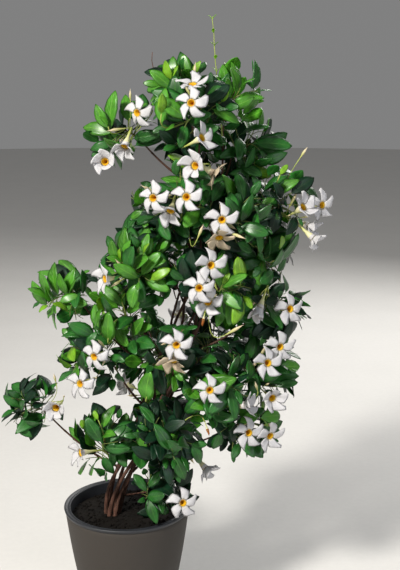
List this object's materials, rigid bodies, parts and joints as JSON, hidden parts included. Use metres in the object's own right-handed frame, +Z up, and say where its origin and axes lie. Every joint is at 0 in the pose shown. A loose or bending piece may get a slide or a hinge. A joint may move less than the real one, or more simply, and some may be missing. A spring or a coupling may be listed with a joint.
{
  "type": "potted mandevilla",
  "caption": "White-flowered twining shrub with glossy paired leaves, pinwheel trumpet blooms and woody stems, growing in a round tapered patio planter.",
  "frame": {"origin": "centre of the planter's flat underside", "axes": "+Z up the plant, +X towards the side the crown leans to, -Y towards the front with the most blooms"},
  "size_m": [0.7612, 0.4546, 1.4021],
  "materials": {
    "planter_wall": "matte",
    "insert": "satin",
    "soil": "matte",
    "bark": "matte",
    "young_shoot": "satin",
    "foliage": "satin"
  },
  "bodies": {
    "root": {"back_skirt_bough": "bark", "back_skirt_foliage": "foliage", "crown_back_bough": "bark", "crown_back_foliage": "foliage", "crown_front_foliage": "foliage", "far_left_bough": "bark", "far_left_foliage": "foliage", "far_low_left_bough": "bark", "far_low_left_foliage": "foliage", "foot_foliage": "foliage", "front_skirt_foliage": "foliage", "inner_left_bough": "bark", "inner_left_foliage": "foliage", "leader_shoot": "young_shoot", "left_back_bough": "bark", "left_back_foliage": "foliage", "left_low_front_bough": "bark", "left_low_front_foliage": "foliage", "left_middle_bough": "bark", "left_middle_foliage": "foliage", "left_skirt_foliage": "foliage", "low_back_bough": "bark", "low_back_foliage": "foliage", "low_back_left_bough": "bark", "low_back_left_foliage": "foliage", "low_front_foliage": "foliage", "low_middle_foliage": "foliage", "low_right_bough": "bark", "low_right_foliage": "foliage", "middle_back_bough": "bark", "middle_back_foliage": "foliage", "middle_front_foliage": "foliage", "middle_left_foliage": "foliage", "middle_right_bough": "bark", "middle_right_foliage": "foliage", "planter": "planter_wall", "planter_insert": "insert", "potting_soil": "soil", "right_shoulder_bough": "bark", "right_shoulder_foliage": "foliage", "right_side_bough": "bark", "right_side_foliage": "foliage", "right_skirt_bough": "bark", "right_skirt_foliage": "foliage", "stem_1": "bark", "stem_2": "bark", "stem_3": "bark", "stem_4": "bark", "stem_5": "bark", "stem_6": "bark", "top_left_foliage": "foliage", "top_right_foliage": "foliage", "upper_back_foliage": "foliage", "upper_front_foliage": "foliage", "upper_left_bough": "bark", "upper_left_foliage": "foliage", "upper_right_bough": "bark", "upper_right_foliage": "foliage", "upper_right_front_foliage": "foliage"}
  },
  "joints": []
}
